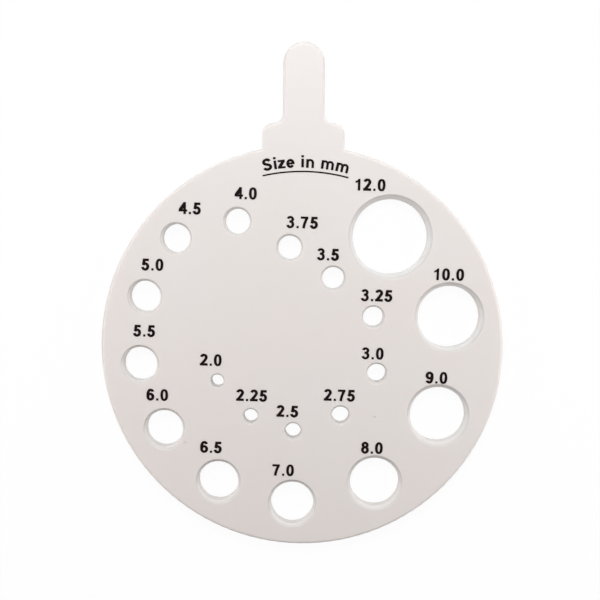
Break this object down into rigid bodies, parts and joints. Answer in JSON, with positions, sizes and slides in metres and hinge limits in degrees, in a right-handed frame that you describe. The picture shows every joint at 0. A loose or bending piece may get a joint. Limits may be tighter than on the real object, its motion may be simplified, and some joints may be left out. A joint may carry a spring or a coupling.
{
  "type": "knitting needle gauge",
  "caption": "Flat moulded plate with graded round holes that tell the size of a knitting needle, and a narrow round-ended tab to hold it by.",
  "frame": {"origin": "centre of the disc on the flat back face", "axes": "+Y from the disc's centre along the tab, +Z out of the printed front face, +X to the right as the numbers are read"},
  "size_m": [0.065, 0.0811, 0.0025],
  "materials": {
    "white_plastic": "satin warm white moulded plastic",
    "black_ink": "pad printed black ink with a low sheen"
  },
  "bodies": {
    "root": {"gauge_plate": "white_plastic"}
  },
  "joints": []
}
